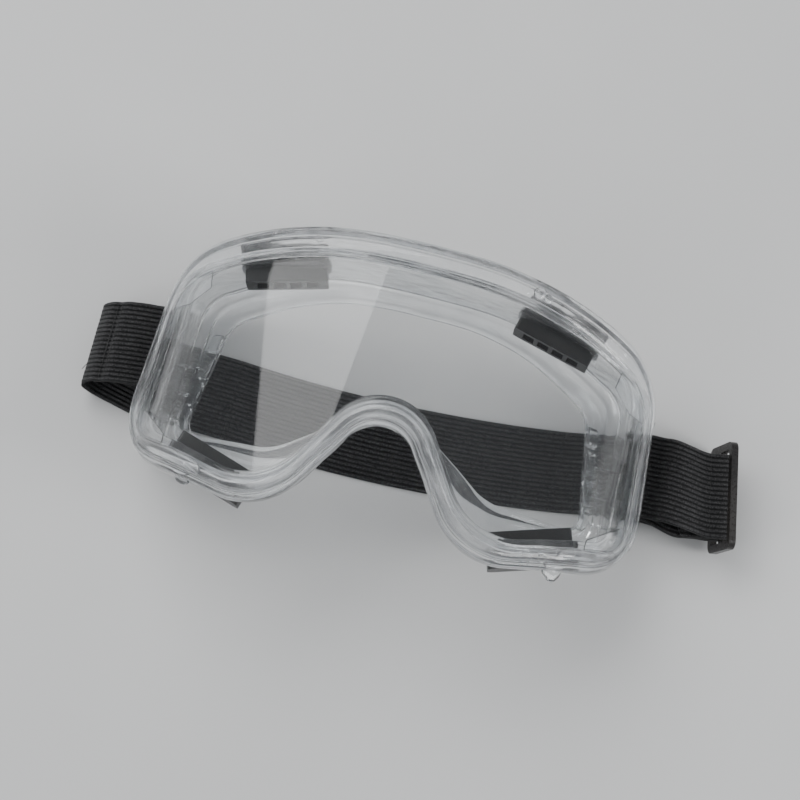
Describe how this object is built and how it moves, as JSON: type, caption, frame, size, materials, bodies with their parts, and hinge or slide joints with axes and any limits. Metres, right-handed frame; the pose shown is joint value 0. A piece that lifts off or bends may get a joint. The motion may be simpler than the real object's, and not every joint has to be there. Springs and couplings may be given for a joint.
{
  "type": "safety goggles",
  "caption": "Clear indirect-vent safety goggles with a curved lens, soft clear frame and a black elastic strap with a three-bar slider, lying lens up on the folded strap.",
  "frame": {"origin": "on the underside of the strap, straight below the middle of the lens's width, at the height of the eyes", "axes": "+X across the face towards the wearer's left temple, +Y towards the brow, +Z out through the lens"},
  "size_m": [0.2398, 0.0969, 0.077],
  "materials": {
    "clear_pvc": "glossy clear soft PVC",
    "clear_lens": "clear polycarbonate",
    "vent_plastic": "satin black moulded",
    "slider_plastic": "semi-gloss black moulded",
    "webbing": "black ribbed elastic webbing",
    "thread": "black sewing thread"
  },
  "bodies": {
    "goggles": {"face_flange": "clear_pvc", "frame_rim": "clear_pvc", "frame_wall": "clear_pvc", "lens": "clear_lens", "strap_lug_left": "clear_pvc", "strap_lug_loop": "webbing", "strap_lug_right": "clear_pvc", "strap_run": "webbing", "strap_run_left": "webbing", "strap_run_right": "webbing", "strap_top_layer": "webbing", "strap_under_layer": "webbing", "vent_base_brow_left": "vent_plastic", "vent_base_brow_right": "vent_plastic", "vent_base_cheek_left": "vent_plastic", "vent_base_cheek_right": "vent_plastic", "vent_hood_brow_left": "vent_plastic", "vent_hood_brow_right": "vent_plastic", "vent_hood_cheek_left": "vent_plastic", "vent_hood_cheek_right": "vent_plastic"},
    "left_strap": {"strap_left_loop": "webbing", "strap_left_seam": "thread"},
    "adjuster": {"strap_fold": "webbing", "strap_hem": "webbing", "strap_hem_seam": "thread"},
    "slider": {"slider": "slider_plastic"}
  },
  "joints": [
    {"name": "left_strap_swing", "type": "hinge", "parent": "goggles", "child": "left_strap", "pos_m": [-0.0875, 0.00475, 0.009], "axis": [0, 1, 0], "range_deg": [0, 14], "deforming": ["strap_run_left"]},
    {"name": "adjuster_slide", "type": "slide", "parent": "goggles", "child": "adjuster", "axis": [0.9995, -0.0319, 0], "range_m": [-0.008, 0.015], "deforming": ["strap_run_right", "strap_top_layer", "strap_under_layer"]},
    {"name": "slider_rock", "type": "hinge", "parent": "adjuster", "child": "slider", "pos_m": [0.1188, 0.0039, 0.0121], "axis": [-0.1822, 0.9833, 0], "range_deg": [-12, 10]}
  ]
}
